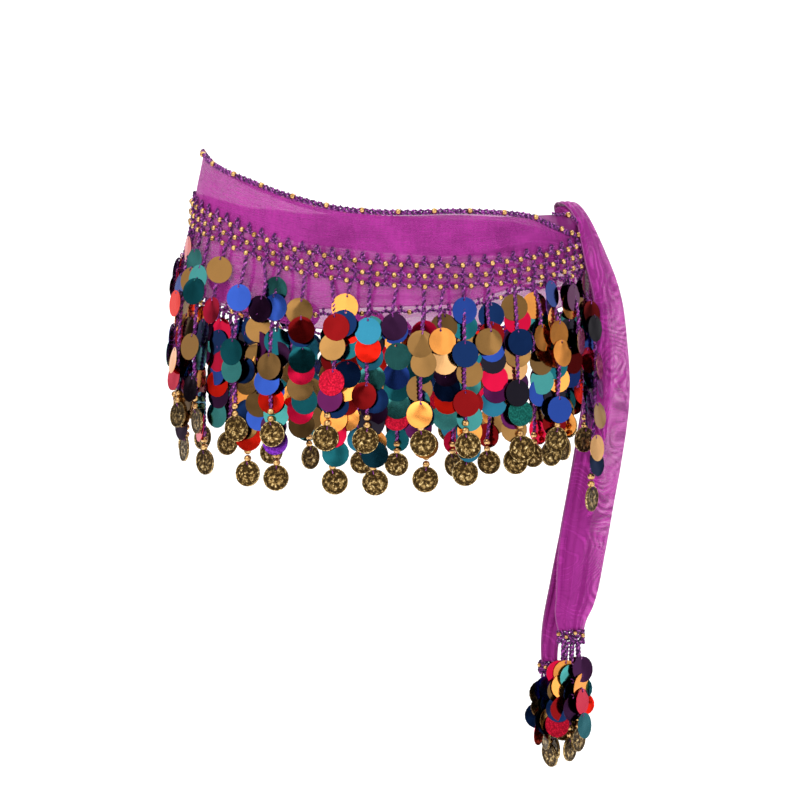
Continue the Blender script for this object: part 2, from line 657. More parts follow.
def tinsel_cord(name):
    """Crochet cord of violet yarn with a shiny filament: a dark ply and a lighter one, with
    magenta flecks and glints. The ply attribute tells which ply a point is on."""
    cord = Finish(name, Specular_IOR_Level=0.25)
    place, ply = cord.place(), cord.mark("ply")("Fac")
    fleck = cord.noise(place, 820.0, 2.0, 0.6)
    yarn = cord.noise(place, 360.0, 3.0, 0.6)
    glint = cord.noise(place, 1500.0, 1.0, 0.5)
    colour = cord.ramp(
        fleck * 0.65 + yarn * 0.35 + (ply - 0.5) * 0.13,
        (0.38, (0.014, 0.001, 0.020)),
        (0.47, (0.060, 0.004, 0.080)),
        (0.55, (0.170, 0.012, 0.190)),
        (0.63, (0.420, 0.060, 0.400)),
        (0.70, (0.700, 0.250, 0.660)),
    )
    shine = ((glint - 0.62) * 9.0).at_least(0.0).at_most(1.0)
    cord.set(Base_Color=cord.blend(shine, colour, (0.66, 0.26, 0.66)))
    cord.set(Metallic=shine * 0.7, Roughness=0.62 - shine * 0.36)
    cord.bump(fleck * 0.5 + yarn * 0.5, 0.5, 0.0005)
    return cord.material


def gilt(name):
    """Gilt bead: bright warm gold, dulled a little in small patches."""
    gold = Finish(name, Metallic=1.0, Specular_IOR_Level=0.6)
    place = gold.place()
    dull = gold.noise(place, 380.0, 3.0)
    fine = gold.noise(place, 2200.0, 2.0)
    gold.set(Base_Color=gold.ramp(dull, (0.34, (0.30, 0.14, 0.045)), (0.62, (0.76, 0.47, 0.19))))
    gold.set(Roughness=0.10 + dull * 0.16)
    gold.bump(fine, 0.12, 0.0002)
    return gold.material


def spangle_foil(name):
    """Dyed foil on a thin plastic disc: mirror-like, slightly buckled, some pressed with glitter.
    The dye attribute holds the colour, and its alpha how much glitter there is."""
    foil = Finish(name, Metallic=1.0, Specular_IOR_Level=0.5)
    dye, place = foil.mark("dye"), foil.place()
    buckle = foil.noise(place, 62.0, 1.0, 0.3)
    scuff = foil.noise(place, 260.0, 2.0, 0.5)
    grain = foil.node("ShaderNodeTexVoronoi", {}, {"Vector": place, "Scale": 1100.0})("Color")
    speck = foil.node("ShaderNodeSeparateXYZ", {}, {"Vector": grain})("X")
    glitter = dye("Alpha")
    bright = (scuff * 0.10 + 0.95) * (1.0 - glitter) + (speck ** 2.0 * 1.1 + 0.55) * glitter
    settings, values = {"operation": "SCALE"}, {0: dye("Color"), "Scale": bright}
    foil.set(Base_Color=foil.node("ShaderNodeVectorMath", settings, values)("Vector"))
    foil.set(Roughness=0.10 + scuff * 0.06 + glitter * 0.24)
    foil.bump(buckle + speck * glitter * 0.10, 0.30, 0.0012)
    return foil.material


def antique_brass(name):
    """Struck coin of antique brass: worn bright on what stands up, nearly black in the hollows."""
    brass = Finish(name, Metallic=1.0)
    relief, place = brass.mark("relief")("Fac"), brass.place()
    rough = brass.noise(place, 540.0, 2.0, 0.5, 0.8)
    pits = brass.noise(place, 1700.0, 2.0)
    level = relief * 0.62 + (rough - 0.5) * 1.7 + (pits - 0.5) * 0.25 - 0.02
    colour = brass.ramp(
        level,
        (0.12, (0.035, 0.020, 0.007)),
        (0.34, (0.110, 0.064, 0.020)),
        (0.58, (0.420, 0.270, 0.095)),
        (0.84, (0.880, 0.700, 0.360)),
    )
    brass.set(Base_Color=colour)
    brass.set(Roughness=(0.46 - level * 0.34).at_least(0.12))
    brass.bump(rough + relief * 0.3 + pits * 0.15, 0.9, 0.0010)
    return brass.material


def length(name, description, default):
    """A setting in metres."""
    return bpy.props.FloatProperty(
        name=name, description=description, default=default, unit="LENGTH", precision=5
    )


class ScarfCloth(bpy.types.PropertyGroup):
    colour: bpy.props.FloatVectorProperty(
        name="Colour", description="Colour of the sheer cloth", subtype="COLOR",
        default=(0.418, 0.024, 0.310),
    )
    cover: bpy.props.FloatProperty(
        name="Cover", description="Share of the light that one face of the wrapped cloth stops",
        default=0.52, min=0.05, max=1.0, subtype="FACTOR",
    )
    wall: length("Wall", "Thickness of the cloth", 0.00030)
    roll: length("Rolled hem", "Radius of the rolled hem", 0.00055)


class ScarfCrochet(bpy.types.PropertyGroup):
    ply: length("Ply", "Radius of one ply of the cord", 0.00095)
    bead: length("Bead", "Radius of the net's beads", 0.0026)


class ScarfFringe(bpy.types.PropertyGroup):
    spangle: length("Spangle", "Radius of a round spangle", 0.0114)
    coin: length("Coin", "Radius of a coin", 0.0110)
    bead: length("Bead", "Radius of the beads above a coin", 0.0033)
    seed: bpy.props.IntProperty(name="Seed", description="How the spangles happen to hang", default=7)


class HipScarf(bpy.types.PropertyGroup):
    cloth: bpy.props.PointerProperty(type=ScarfCloth)
    crochet: bpy.props.PointerProperty(type=ScarfCrochet)
    fringe: bpy.props.PointerProperty(type=ScarfFringe)


def worn_grid(around, lower, upper, rows, out):
    """Cloth on the hips: across it a share runs from the lower line to the upper, and each point
    lies its layer's distance out plus the creases, broad and fine. It gives the points, and how
    steeply the creases stand there."""
    share = np.linspace(0, 1, rows)[:, None]
    height = lower + (upper - lower) * share
    lift = crease(around, height) + crease(around, height, FINE_CREASES)
    steep = np.abs(np.gradient(lift, axis=0)) / np.maximum(np.abs(np.gradient(height, axis=0)), 1e-5)
    return hip_point(around, height, out + lift), steep


def make_wrap(settings):
    cloth = settings.cloth
    finish = sheer_cloth("sheer_cloth", tuple(cloth.colour), cloth.cover)
    roll_finish = rolled_hem("rolled_hem", tuple(cloth.colour))
    gap = share_of(SEAM_GAP / 20, RIGHT_HIP)
    rows, columns = 46, 300
    for half, start, end in (("front", WRAP_START, RIGHT_HIP - gap), ("back", RIGHT_HIP + gap, WRAP_END)):
        around = np.linspace(start, end, columns)
        grid, steep = worn_grid(around, WRAP("hem", around), WRAP("edge", around), rows, CLOTH_OUT)
        to_knot = np.minimum(around - WRAP_START, WRAP_END - around)
        bunched = 0.36 * np.clip((0.075 - to_knot) / 0.05, 0, 1) * np.linspace(0, 1, rows)[:, None] ** 2
        node = f"wrap_{half}"
        piece = put_cloth(
            f"wrapped_cloth_{half}", node, grid, steep + bunched, finish, cloth.wall, turned=True
        )
        away = outward(around, grid[0, :, 2])
        hem = put_roll(f"rolled_hem_{half}", grid[:1], away[None], cloth.roll, roll_finish)


def make_turn_in(settings):
    cloth = settings.cloth
    finish = sheer_cloth("turned_in_cloth", dyed(cloth.colour, 0.86), cloth.cover + 0.11)
    for half, table in TURN_IN.items():
        around = np.linspace(table.places[0], table.places[-1], 200)
        grid, steep = worn_grid(around, table("lower", around), table("upper", around), 14, TURN_IN_OUT)
        bunched = 0.42 * np.clip((0.135 - around) / 0.05, 0, 1) if half == "front" else 0.0
        node = f"turn_in_{half}"
        piece = put_cloth(
            f"turned_in_top_{half}", node, grid, steep + bunched, finish, cloth.wall, turned=True
        )


def ramped(value, start, span):
    """0 up to the start, 1 past the span after it, and even between; a span below 0 falls."""
    return np.clip((value - start) / span, 0, 1)


def doubling(share, way, w):
    """How much cover the over tail's folds add: where the cloth lies double, above a slanting
    edge, in the hollow below the knot, in its mouth behind the knot, and at its gathered foot."""

    def soft(value, width):
        return 1 / (1 + np.exp(value / width))

    double = soft(w - DOUBLE_TO("w", share), 0.035)
    slant = soft(share - 0.240 - 0.032 * (w + 0.5), 0.0025)
    double = np.maximum(double, slant * soft(w - 0.58, 0.035))
    hollow = np.exp(-(((share - 0.150) / 0.022) ** 2) - ((w - 0.10) / 0.28) ** 2)
    mouth = ramped(share, 0.06, -0.03)
    below = ramped(share, 0.27, 0.05)
    foot = 0.38 * ramped(share, 0.62, 0.18) * np.clip(1.3 - 1.2 * w, 0, 1)
    foot = foot - 0.20 * (1 - double) * below * ramped(share, 0.9, -0.1)
    doubled = 0.28 * double * (1 - 0.60 * below * ramped(share, 0.6, -0.1))
    return (doubled + 0.42 * hollow + 0.40 * mouth + foot) * np.where(way < TWO_LAYERS, 1.0, 0.0)


def tail_grid(which, shares, ways):
    """A hanging tail: down it a table gives the middle, half width, half depth and turn of each
    section, and along the section a second table gives the path of the folded cloth, to which
    soft pleats and the fine crinkles of gathered cloth are added."""
    table, folds = TAILS[which], TAIL_FOLDS[which]
    share, way = np.asarray(shares)[:, None], np.asarray(ways)[None]
    half_width, half_depth = table("half_width", share), table("half_depth", share)

    def middle_at(share):
        return np.stack([table(axis, share) for axis in "xyz"], -1)

    tuck = np.maximum(0, 1 - share / 0.045)
    middle = middle_at(share) + tuck[..., None] ** 2 * np.array([0.0, 0.002, -0.010])
    tangent = unit(middle_at(np.minimum(1, share + 0.004)) - middle_at(np.maximum(0, share - 0.004)))
    turn = np.radians(table("turn", share))
    across = np.stack([np.cos(turn), np.sin(turn), 0 * turn], -1)
    across = unit(across - tangent * np.sum(tangent * across, -1, keepdims=True))
    front = np.cross(tangent, across)
    w, d = folds("w", way) + 0 * share, folds("d", way)
    d = d + PLEAT_SHARE * np.sin(np.pi * PLEAT_WAVES * w + 4 * share)
    if which == "over":
        behind = ramped(way, 0.78, 0.22)
        w = np.where(behind > 0, -0.98 + (INNER_EDGE("w", share) + 0.98) * behind, w)
    gather = 0 * (share + way)
    for place, drift, width, depth, top, foot in TAIL_CREASES[which]:
        shown = ramped(share, top, 0.20) * ramped(share, foot, -0.20)
        off = (w - place - drift * share) / width
        layer = np.where(way < TWO_LAYERS, 1.0, 0.55)
        rise = depth * np.exp(-(off**2)) * shown * (3 - 2 * shown) * layer
        d = d + rise
        gather = gather + 0.7 * np.abs(off * rise) / width * half_depth / half_width
    if which == "over":
        gather = gather + doubling(share, way, w)
    else:
        gather = gather - 0.35 + 0.95 * ramped(share, 0.55, 0.20)
    crinkle = np.sin(61 * way + 2.3 * np.sin(7 * share)) * (0.6 + 0.4 * np.sin(23 * share + 9 * way))
    ends = 0.30 * np.exp(-((share / 0.22) ** 2)), 0.65 * np.exp(-(((1 - share) / 0.10) ** 2))
    gathered = 0.25 + ends[0] + ends[1]
    lift = 0.00022 * crinkle * gathered
    sideways = across * (w * half_width * (1 - 0.6 * tuck))[..., None]
    grid = middle + sideways + front * (d * half_depth + lift)[..., None]
    return grid, gather + np.abs(crinkle) * 0.08 * gathered


def make_tails(settings):
    cloth = settings.cloth
    roll_finish = rolled_hem("rolled_tail_edge", dyed(cloth.colour, 0.8))
    finish = sheer_cloth("sheer_tail_cloth", dyed(cloth.colour, 1.14), 0.54, rings=0.34)
    for which, (rows, columns) in TAIL_GRIDS.items():
        grid, gather = tail_grid(which, np.linspace(0, 1, rows) ** 1.2, np.linspace(0, 1, columns))
        node = f"tail_{which}"
        piece = put_cloth(f"hanging_tail_{which}", node, grid, gather, finish, cloth.wall)
        edges = np.stack([grid[:, 0], grid[:, -1]])
        inner = np.stack([grid[:, 0] - grid[:, 4], grid[:, -1] - grid[:, -5]])
        hem = put_roll(f"rolled_edge_{which}", edges, unit(inner), cloth.roll, roll_finish)


def make_knot(settings):
    """The tied knot: a bundle whose gathers wind slantwise round it. Its surface is an ellipsoid
    over two angles, swollen by a cosine of the winding angle and finer ones beside it."""
    rows, columns = 70, 160
    polar = np.linspace(0.02, np.pi - 0.02, rows)[:, None]
    turn = np.linspace(0, 2 * np.pi, columns, endpoint=False)[None]
    x, y, z = np.sin(polar) * np.cos(turn), np.cos(polar), np.sin(polar) * np.sin(turn)
    gathers = 0.13 * np.cos(7 * turn + 3 * y) + 0.05 * np.cos(19 * turn + 5 * y + 1.1)
    swell = 1 + (1 - y**2) * (gathers + 0.025 * np.cos(37 * turn - 4 * y))
    cx, cy, cz = KNOT_CENTRE
    rx, ry, rz = KNOT_RADII
    points = np.stack([cx + rx * x * swell, cy + ry * y + 0 * x, cz + rz * z * swell], -1)
    parcel = Parcel()
    length = np.stack(np.broadcast_arrays(turn * 0.012, polar * 0.012), -1).reshape(-1, 2)
    ring = np.arange(columns)
    ends = np.stack([ring, (rows - 1) * columns + ring[::-1]])
    parcel.add(points, quads(rows, columns, closed=True, turned=True), ends, length=length)
    finish = sheer_cloth("knotted_cloth", dyed(settings.cloth.colour, 0.72), 0.97)
    dress(put_mesh("tied_knot", parcel, finish), "sheer_cloth", "knot")


def net_line(around, row, lift=0.0, out=NET_OUT):
    return cloth_point(around, WRAP("net", around) - NET_ROWS[row] + lift, out)

def along(line, held):
    """Which way a line round the hips runs at these places."""
    return line(held + 0.002) - line(held - 0.002)


def net_cells(start, end):
    """The posts of a stretch, the middles between them, and a fine line along it, in cells and
    in shares of the way round."""
    posts = evenly(start, end, NET_COLUMNS)
    cell = np.linspace(0, NET_COLUMNS, NET_COLUMNS * 11 + 1)
    return posts, (posts[:-1] + posts[1:]) / 2, cell, np.interp(cell, np.arange(NET_COLUMNS + 1), posts)


def make_net(settings):
    """Three wavy rows of twisted cord joined by posts, beads threaded on the rows, and small loops
    that rise from the first row and sew the net to the cloth."""
    finish, gold = tinsel_cord("crochet_cord"), gilt("gilt_bead")
    ply = settings.crochet.ply
    for half, start, end in NET_HALVES:
        posts, mids, cell, around = net_cells(start, end)
        cords, beads = Parcel(), Parcel()
        for row in range(3):
            wave = 0.0007 * np.cos(2 * np.pi * cell) * (1 if row else -1)
            wander = 0.0004 * np.sin(1.7 * cell + 2.1 * row)
            line = net_line(around, row, wave + wander)
            add_cords(cords, line[None], outward(around, line[:, 2])[None], ply, ply * 0.95, ROW_LAY)
            held = posts[1:-1] if row == 0 else mids
            places = net_line(held, row, -0.0005, NET_OUT + 0.0008)
            add_beads(beads, places, along(lambda a: net_line(a, row), held), settings.crochet.bead)
        t = np.linspace(0, 1, 9)[None]
        for row in (0, 1):
            lean = share_of(0.0007, posts)[:, None] * np.sin(3.1 * np.arange(len(posts)) + row)[:, None]
            a = posts[:, None] + lean * np.sin(np.pi * t)
            top, foot = WRAP("net", a) - NET_ROWS[row], WRAP("net", a) - NET_ROWS[row + 1]
            lines = cloth_point(a, top + (foot - top) * t, NET_OUT)
            add_cords(cords, lines, outward(a, lines[..., 2]), ply * 0.9, ply * 0.85, POST_LAY)
        rise = np.minimum(NET_LOOP, WRAP("edge", mids) - WRAP("net", mids) - 0.0016)
        bend = np.linspace(0, np.pi, 15)[None]
        a = mids[:, None] + share_of(0.0012, mids)[:, None] * np.cos(bend)
        height = WRAP("net", a) + rise[:, None] * np.sin(bend) ** 0.6
        lines = cloth_point(a, height, NET_OUT - 0.0003)
        add_cords(cords, lines, outward(a, height), ply * 0.72, ply * 0.66, LOOP_LAY)
        dress(put_mesh(f"crochet_net_{half}", cords, finish), "crochet_cord", f"net_{half}")
        dress(put_mesh(f"net_beads_{half}", beads, gold), "fringe")


def make_hem_crochet(settings):
    """Under the hem, a wavy cord held by short posts, with a bead here and there. The lower tier of
    the fringe hangs from it."""
    finish, gold = tinsel_cord("hem_cord"), gilt("hem_gilt")
    ply = settings.crochet.ply * 0.9
    for half, start, end in NET_HALVES:
        posts, mids, cell, around = net_cells(start, end)
        cords, beads = Parcel(), Parcel()
        height = WRAP("hem", around) - HEM_DROP + 0.0006 * np.cos(2 * np.pi * cell)
        line = cloth_point(around, height, HEM_OUT)
        add_cords(cords, line[None], outward(around, height)[None], ply, ply * 0.9, ROW_LAY)
        t = np.linspace(0, 1, 7)[None]
        a = posts[:, None] + 0 * t
        height = WRAP("hem", a) + 0.0006 - (HEM_DROP + 0.0006) * t
        lines = cloth_point(a, height, HEM_OUT)
        add_cords(cords, lines, outward(a, height), ply * 0.85, ply * 0.8, POST_LAY)
        held = mids[1::3]
        places = cloth_point(held, WRAP("hem", held) - HEM_DROP - 0.0004, HEM_OUT + 0.0006)
        ahead = along(lambda a: hip_point(a, WRAP("hem", a), 0.0), held)
        add_beads(beads, places, ahead, settings.crochet.bead * 0.9)
        dress(put_mesh(f"hem_crochet_{half}", cords, finish), "crochet_cord", f"hem_fringe_{half}")
        dress(put_mesh(f"hem_beads_{half}", beads, gold), "fringe")


def make_edging(settings):
    """Crochet edging along the top: a twisted cord on the cloth's edge, a second one that zigzags
    above it, and a gilt bead at every few points. The tied end's own edging stands above it."""
    finish, gold = tinsel_cord("edging_cord"), gilt("edging_gilt")
    ply, bead = settings.crochet.ply, settings.crochet.bead
    out = CLOTH_OUT + 0.0004

    def edge_line(around):
        return cloth_point(around, WRAP("edge", around), out)

    around = evenly(*EDGING, 900)
    cords, beads = Parcel(), Parcel()
    points, away = edge_line(around), outward(around, WRAP("edge", around))
    walked = walked_along(points)
    add_cords(cords, (points + (0, 0, 0.0006))[None], away[None], ply * 0.9, ply * 0.8, EDGE_LAY)
    point = np.abs(((walked / 0.0056 + 0.12 * np.sin(walked * 90)) % 1) * 2 - 1)
    zigzag = points + away * 0.0003
    zigzag[:, 2] += 0.0018 + 0.0015 * (1 - point)
    add_cords(cords, zigzag[None], away[None], ply * 0.8, ply * 0.7, WAVY_LAY)
    dress(put_mesh("crochet_edging", cords, finish), "crochet_cord", "top_edging")
    at = np.concatenate([[0.003, 0.014], np.arange(0.028, walked[-1] - 0.003, 0.0300)])
    held = np.interp(at, walked, around)
    places = edge_line(held) + (0, 0, 0.0022) + outward(held, WRAP("edge", held)) * 0.0012
    add_beads(beads, places, along(edge_line, held), bead)
    dress(put_mesh("edging_beads", beads, gold), "fringe")
    upper = TURN_IN["front"]
    tied = np.linspace(*TIED_EDGING, 90)
    height = upper("upper", tied) + 0.0006 + 0.0006 * np.sin(260 * tied)
    line = hip_point(tied, height, TURN_IN_OUT + 0.0020)
    cords, beads = Parcel(), Parcel()
    add_cords(cords, line[None], outward(tied, height)[None], ply * 0.8, ply * 0.8, POST_LAY)
    dress(put_mesh("tied_edging", cords, finish), "crochet_cord")
    held = np.array([0.076])
    place = hip_point(held, upper("upper", held) + 0.0004, TURN_IN_OUT + 0.0042)
    add_beads(beads, place, line[40:41] - line[50:51], bead)
    dress(put_mesh("tied_edging_bead", beads, gold), "fringe")


def spangle_shape(radius, turned, bowed, wall=0.00026, hole=0.0010, around=18):
    """A flat round with a hole near its rim. The hole is at the origin and the round hangs below
    it in the plane of x and z. It is bowed a little, as a parabola over the distance from a line
    turned by an angle in its plane, and four rings go round the wall."""
    turn = 2 * np.pi * np.arange(around) / around
    drop = radius - hole - 0.0013
    rings = []
    for reach, shift in ((radius, drop), (hole, 0.0)):
        x, z = reach * np.cos(turn), reach * np.sin(turn) - shift
        off = x * math.cos(turned) + (z + drop) * math.sin(turned)
        rings.append(np.stack([x, -bowed * off**2, z], -1))
    half = np.array([0, wall / 2, 0])
    outer, inner = rings
    rings = np.stack([outer - half, inner - half, inner + half, outer + half], 1)
    return rings.reshape(-1, 3), looped(around, 4)


def coin_shape(radius, around=36):
    """A struck coin hanging from its top: on each face a thin raised rim, a ring of dots inside
    it, and in the field worn uneven scrolls, as heights over radius and angle."""
    share = np.array([0.0, 0.16, 0.32, 0.46, 0.58, 0.68, 0.78, 0.86, 0.92, 0.96, 1.0])
    turn = 2 * np.pi * np.arange(around) / around
    x, y = share[:, None] * np.cos(turn), share[:, None] * np.sin(turn)
    scroll = np.sin(5.1 * x + 3.0 * np.sin(4.3 * y)) * np.cos(5.7 * y - 2.2 * np.sin(5.9 * x) + 0.8)
    level = 0.42 + 0.58 * scroll
    dots = 0.10 + 0.90 * (0.5 + 0.5 * np.cos(12 * turn)) ** 2
    for row, height in ((6, 0.10), (7, dots), (8, 0.12), (9, 0.95), (10, 0.80)):
        level[row] = height
    x, z = x * radius, y * radius - radius + 0.0016
    rise = COIN_THICK / 2 + COIN_RELIEF * level
    points = np.concatenate([np.stack([x, -rise, z], -1), np.stack([x, rise, z], -1)[::-1]])
    marks = np.concatenate([level, level[::-1]])
    return points.reshape(-1, 3), quads(len(points), around, closed=True), marks.ravel()


def ring_shape(tall, deep, thick, around=10, sides=4):
    """A small loop of thread in the plane of y and z: an ellipse with a round section."""
    turn = 2 * np.pi * np.arange(around)[:, None] / around
    side = 2 * np.pi * np.arange(sides)[None] / sides
    y = (deep + thick * np.cos(side)) * np.cos(turn)
    z = (tall + thick * np.cos(side)) * np.sin(turn)
    x = thick * np.sin(side) + 0 * turn
    return np.stack([x, y, z], -1).reshape(-1, 3), looped(around, sides)


def discs_crossed(centre, axes, centres, frames, radius):
    """How many of the discs one disc cuts: two discs cross where the rim of one goes through the
    plane of the other inside its radius."""
    near = np.linalg.norm(centres - centre, axis=1) < 2.2 * radius
    if not near.any():
        return 0
    turn = 2 * np.pi * np.arange(20) / 20
    ring = np.stack([np.cos(turn), 0 * turn, np.sin(turn)], -1) * radius
    mine = centre + ring @ axes.T
    theirs = centres[near][:, None] + np.einsum("nij,pj->npi", frames[near], ring)

    def pierces(rims, middle, normal):
        height = np.einsum("...pi,...i->...p", rims - middle[..., None, :], normal)
        after = np.roll(height, -1, axis=-1)
        change = height * after < 0
        t = height / np.where(np.abs(height - after) < 1e-12, 1, height - after)
        at = rims + (np.roll(rims, -1, axis=-2) - rims) * t[..., None]
        inside = np.linalg.norm(at - middle[..., None, :], axis=-1) < radius
        return (change & inside).any(axis=-1)

    mine = np.broadcast_to(mine, theirs.shape)
    first = pierces(mine, centres[near], frames[near][:, :, 1])
    level = np.broadcast_to(centre, centres[near].shape), np.broadcast_to(axes[:, 1], centres[near].shape)
    return int((first | pierces(theirs, *level)).sum())


def hanging_frame(away, yaw, tilt, roll):
    """Axes of a disc that hangs from its top: it turns about its hanging line, its foot swings
    out, and it rolls in its own plane."""
    level = unit(away * (1, 1, 0))
    right = np.cross(level, (0, 0, 1.0))
    out = level * math.cos(yaw) + right * math.sin(yaw)
    right = np.cross(out, (0, 0, 1.0))
    up = np.array((0, 0, 1.0)) * math.cos(tilt) - out * math.sin(tilt)
    out = np.cross(up, right)
    cosine, sine = math.cos(roll), math.sin(roll)
    return np.stack([right * cosine + up * sine, out, up * cosine - right * sine], -1)


class Hangings:
    """What hangs on the strands: spangles and coins with their places and axes."""

    def __init__(self, rng):
        self.rng, self.last = rng, -1
        self.centres, self.frames = np.zeros((0, 3)), np.zeros((0, 3, 3))
        weights = np.array([d[1] for d in DYES], float)
        self.weights = weights / weights.sum()

    def hang(self, place, away, radius, spread, tilts, lifts, tries=16):
        """Find how a disc hangs there without cutting another, or as nearly as it can be."""
        best, least = None, math.inf
        draw = self.rng.uniform
        for attempt in range(tries):
            wide = spread * (0.5 + attempt / tries)
            axes = hanging_frame(away, draw(-wide, wide), draw(*tilts), draw(-0.24, 0.24))
            lift = draw(lifts[0], lifts[0] + (lifts[1] - lifts[0]) * (0.3 + attempt / tries))
            hole = place + unit(away * (1, 1, 0)) * lift
            centre = hole - axes[:, 2] * (radius - 0.0023)
            crossed = discs_crossed(centre, axes, self.centres, self.frames, radius)
            if crossed < least:
                best, least = (hole, centre, axes), crossed
            if not crossed:
                break
        hole, centre, axes = best
        self.centres = np.vstack([self.centres, centre[None]])
        self.frames = np.concatenate([self.frames, axes[None]])
        return hole, axes

    def dye(self):
        """A colour for the next spangle, seldom the last one again."""
        pick = self.rng.choice(len(DYES), p=self.weights)
        if pick == self.last:
            pick = self.rng.choice(len(DYES), p=self.weights)
        self.last = pick
        colour, _, glitter = DYES[pick]
        return (*dyed(colour, self.rng.uniform(0.72, 1.15)), glitter)


def fringe_finishes(*names):
    kinds = (tinsel_cord, spangle_foil, gilt, antique_brass)
    return [kind(name) for kind, name in zip(kinds, names)]


def dress_strands(group, node, strands, fringe, hangings, plan, finishes, chain_ply):
    """One group of strands: their chains, the spangles strung down them, and at the foot of some
    a coin under two beads. A strand is its line, the directions away from the body along it, both
    (step, 3) arrays from top to foot, and whether it has a coin."""
    cords, rounds, beads, struck = Parcel(), Parcel(), Parcel(), Parcel()
    spangles, dyes, links, hung = [], [], [], []
    rng = hangings.rng
    for line, away, has_coin in strands:
        walked = walked_along(line)
        steps = max(4, int(walked[-1] / 0.0016))
        even = np.linspace(0, walked[-1], steps)
        path = np.stack([np.interp(even, walked, line[:, k]) for k in range(3)], -1)
        side = np.stack([np.interp(even, walked, away[:, k]) for k in range(3)], -1)
        add_cords(cords, path[None], side[None], chain_ply, chain_ply * 0.80, CHAIN_LAY)
        at = rng.uniform(*plan["first"])
        foot = walked[-1] - (0.004 if has_coin else 0.001)
        left = rng.integers(1, plan["cluster"] + 1)
        while at < foot:
            k = min(int(at / walked[-1] * (steps - 1)), steps - 1)
            spread = plan["spread"] if rng.random() > LOOSE_SHARE else LOOSE_SPREAD
            rest = path[k] + side[k] * (chain_ply * 1.8 + 0.0005)
            hole, axes = hangings.hang(rest, side[k], fringe.spangle, spread, plan["tilts"], plan["lifts"])
            spangles.append((hole, axes))
            dyes.append(hangings.dye())
            links.append(((path[k] + hole) / 2 + np.array([0, 0, 0.0006]), axes))
            left -= 1
            at += rng.uniform(*plan["close"] if left > 0 else plan["apart"])
            if left <= 0:
                left = rng.integers(1, plan["cluster"] + 1)
        if has_coin:
            down = np.array([0, 0, fringe.bead])
            add_beads(beads, path[-1] - np.array([down * 0.8, down * 2.7]), np.array([[0, 0, 1.0]]), fringe.bead)
            top = path[-1] - down * 3.7
            turned = rng.choice(plan["coin_turns"], p=COIN_ODDS)
            hung.append(hangings.hang(top, side[-1], fringe.coin, turned, (-0.05, 0.16), (0.0, 0.002)))
            links.append((top - np.array([0, 0, 0.0004]), hung[-1][1]))
    for kind, bow in enumerate(BOWS):
        places, frames = zip(*spangles[kind :: len(BOWS)])
        shape = spangle_shape(fringe.spangle, *bow)
        add_copies(rounds, *shape, places, frames, dye=np.array(dyes[kind :: len(BOWS)]))
    shape = ring_shape(0.0021, 0.0017, 0.00042)
    add_copies(cords, *shape, *zip(*links), ply=np.full(len(links), 0.7))
    thread, foil, gold, brass = finishes
    dress(put_mesh(f"strands_{group}", cords, thread), "crochet_cord", node)
    dress(put_mesh(f"spangles_{group}", rounds, foil, sharp=40), "fringe", node)
    *shape, relief = coin_shape(fringe.coin)
    add_copies(struck, *shape, *zip(*hung), relief=np.tile(relief, len(hung)))
    dress(put_mesh(f"coins_{group}", struck, brass, sharp=70), "fringe", node)
    dress(put_mesh(f"coin_beads_{group}", beads, gold), "fringe", node)


def strip_height(tier, around):
    """Where the strands of a tier of fringe are rooted."""
    return WRAP(tier, around) - (NET_ROWS[-1] if tier == "net" else HEM_DROP)


def fringe_strand(tier, around, foot, rng, steps=60):
    """A strand from its strip down to a height: it leaves the cloth by a smooth step over the
    first share of its fall, then hangs, swaying a little to each side."""
    strip = strip_height(tier, around)
    t = np.linspace(0, 1, steps)
    top_out = FRINGE_FROM[tier] + float(crease(around, strip))
    longest = strip - WRAP(f"{tier}_coin", around)
    swing = np.minimum(1, t * (strip - foot) / longest / SWING)
    out = top_out + (FRINGE_REACH[tier] - top_out) * swing * swing * (3 - 2 * swing)
    sway = share_of(rng.uniform(-0.0056, 0.0056), around) * np.sin(t * rng.uniform(2.0, 3.6))
    height = strip + (foot - strip) * t
    away = outward(around + sway, np.maximum(height, WIDEST_HEIGHT))
    return hanging_point(around + sway, height, out), away


def make_fringe(settings):
    fringe = settings.fringe
    rng = np.random.default_rng(fringe.seed)
    finishes = fringe_finishes("strand_cord", "spangle_foil", "coin_gilt", "antique_brass")
    hangings = Hangings(rng)
    above_coin = fringe.coin - 0.0016 + fringe.bead * 3.7
    for tier in ("hem", "net"):
        for half, start, end in NET_HALVES:
            strands = []
            for index, around in enumerate(evenly(start, end, 2 * STRANDS)[1::2]):
                long = index % 2 == 0
                if long:
                    around = around + share_of(PAIRING if index % 4 else -PAIRING, around)
                strip, low = float(strip_height(tier, around)), float(WRAP(f"{tier}_coin", around))
                if long:
                    foot = low + above_coin
                else:
                    foot = strip + (low - 0.010 - strip) * SHORT_FALL[tier] + 0.018
                strands.append((*fringe_strand(tier, around, foot, rng), long))
            plan = PLANS[tier]
            if (tier, half) == ("net", "back"):
                plan = dict(plan, first=BACK_BARE)
            node = f"{tier}_fringe_{half}"
            dress_strands(f"{tier}_{half}", node, strands, fringe, hangings, plan, finishes, 0.00108)


